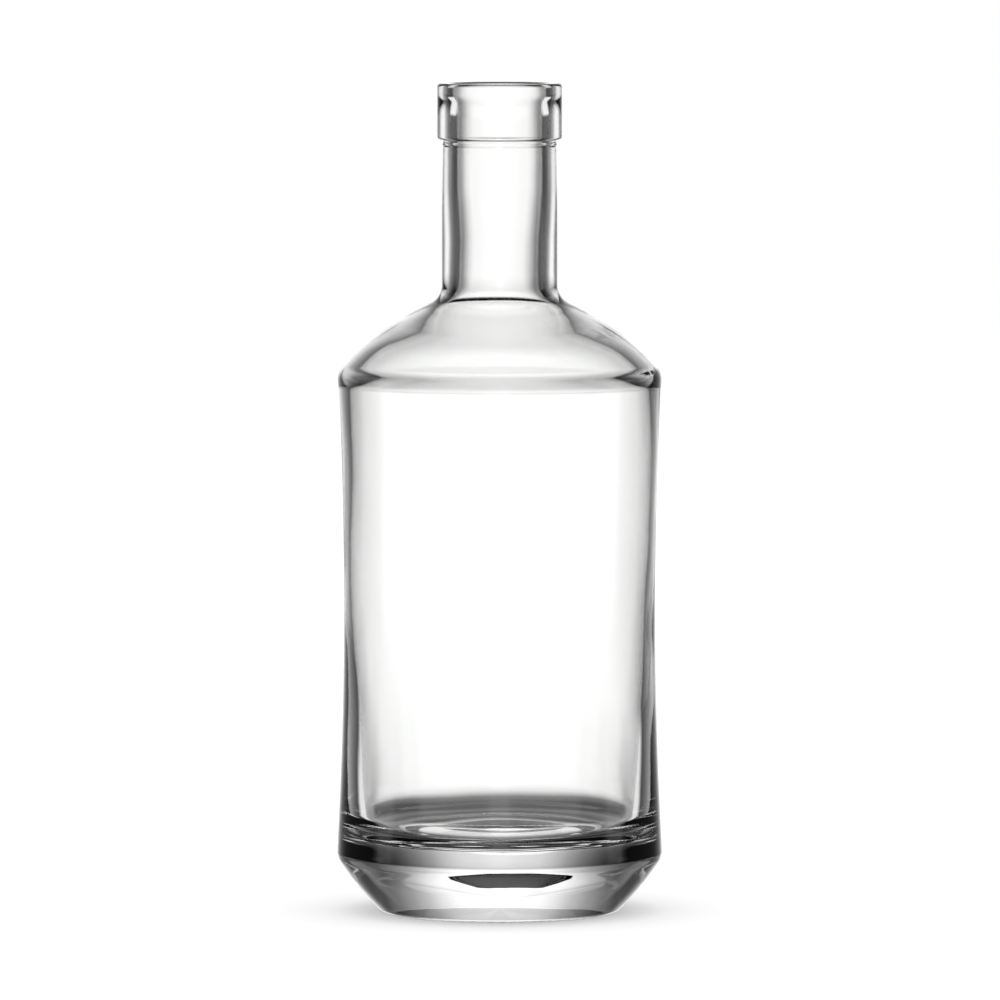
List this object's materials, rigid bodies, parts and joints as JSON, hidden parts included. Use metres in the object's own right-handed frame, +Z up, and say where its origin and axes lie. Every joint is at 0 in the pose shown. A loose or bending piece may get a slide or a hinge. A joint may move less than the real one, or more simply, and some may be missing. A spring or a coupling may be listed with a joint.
{
  "type": "glass bottle",
  "caption": "Clear glass bottle with a waisted round body, heavy chamfered base, rounded shoulder, straight neck and square-edged lip ring, open at the mouth.",
  "frame": {"origin": "centre of the bearing ring, on the surface that the bottle stands on", "axes": "+Z up along the bottle's axis, out of the mouth; the registration notch in the foot is at the back, near +Y"},
  "size_m": [0.0904, 0.0904, 0.23],
  "materials": {
    "clear_glass": "polished"
  },
  "bodies": {
    "root": {"glass_bottle": "clear_glass"}
  },
  "joints": []
}
